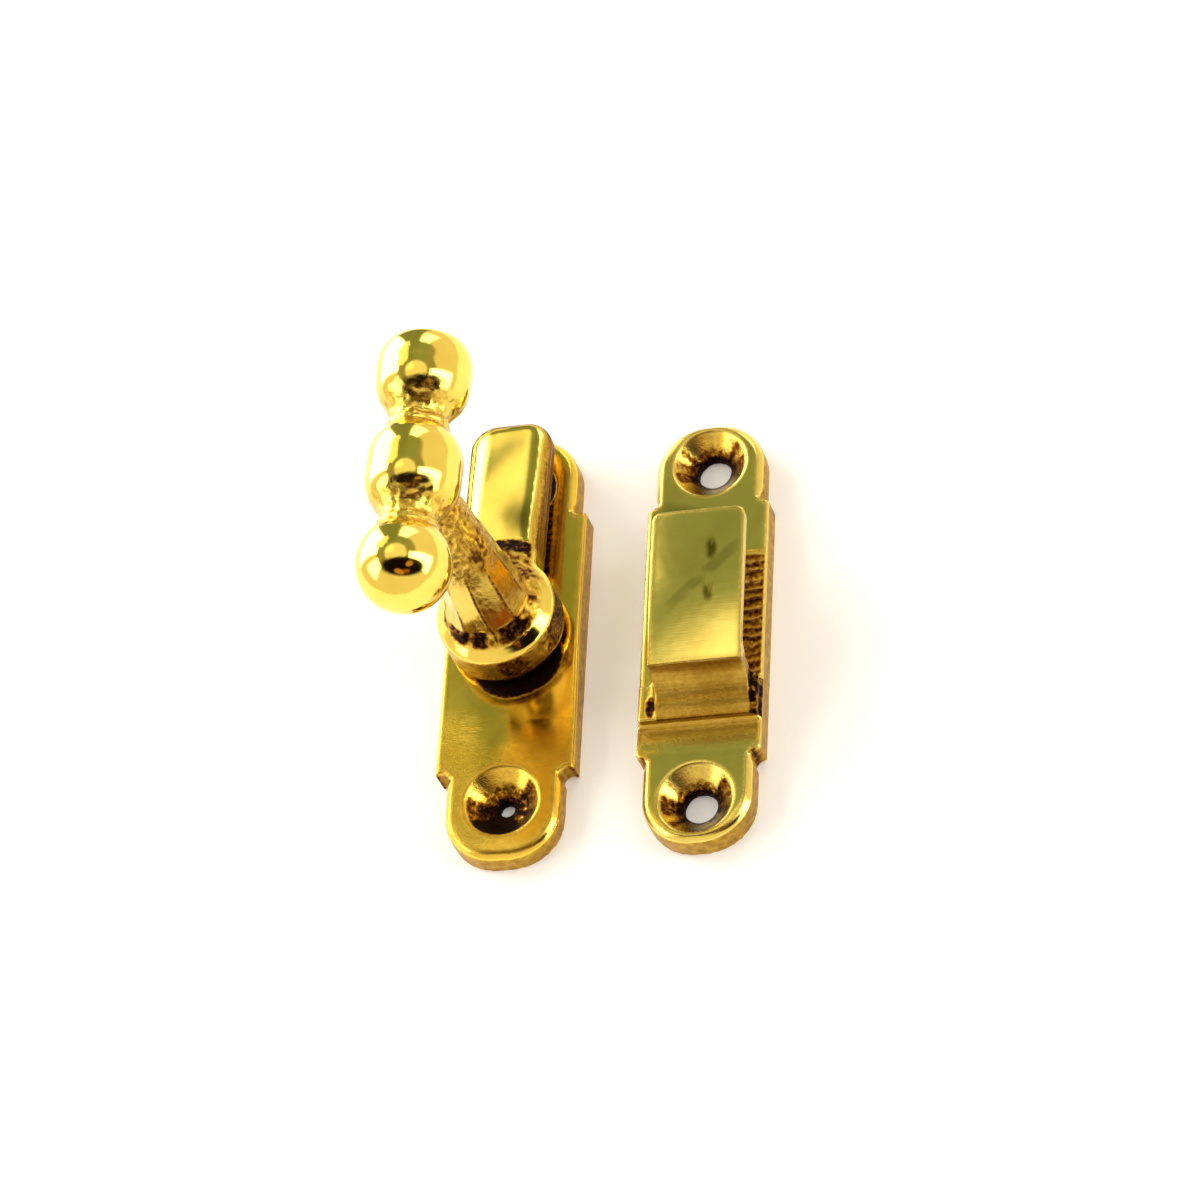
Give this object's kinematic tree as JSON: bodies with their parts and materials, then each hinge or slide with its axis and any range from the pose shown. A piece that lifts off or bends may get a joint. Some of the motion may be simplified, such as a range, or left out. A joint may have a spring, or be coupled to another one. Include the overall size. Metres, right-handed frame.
{
  "type": "showcase catch",
  "caption": "Cast brass showcase catch: plate with a riveted T-handled turn tongue, and a hooked keeper plate that the tongue turns into.",
  "frame": {"origin": "midway between the catch plate's two screw holes, on the plate's back face", "axes": "+Z out of the plates towards the T-handle, +Y along the plates towards the open tongue, +X from the catch to the keeper"},
  "size_m": [0.0448, 0.0648, 0.0526],
  "materials": {
    "polished_brass": "hand-filed and polished cast brass",
    "cast_brass": "polished cast brass with the cast skin left in the hollows",
    "spring_steel": "plain spring steel",
    "washer_brass": "plain stamped brass",
    "keeper_brass": "hand-filed and polished cast brass"
  },
  "bodies": {
    "plates": {"catch_backplate": "polished_brass", "spring_washer": "spring_steel", "keeper": "keeper_brass"},
    "handle": {"turn_handle": "cast_brass", "rivet_washer": "washer_brass"}
  },
  "joints": [
    {"name": "handle_turn", "type": "hinge", "parent": "plates", "child": "handle", "pos_m": [-0.0005, 0.0016, 0.0043], "axis": [0, 0, 1], "range_deg": [-96, 200]}
  ]
}
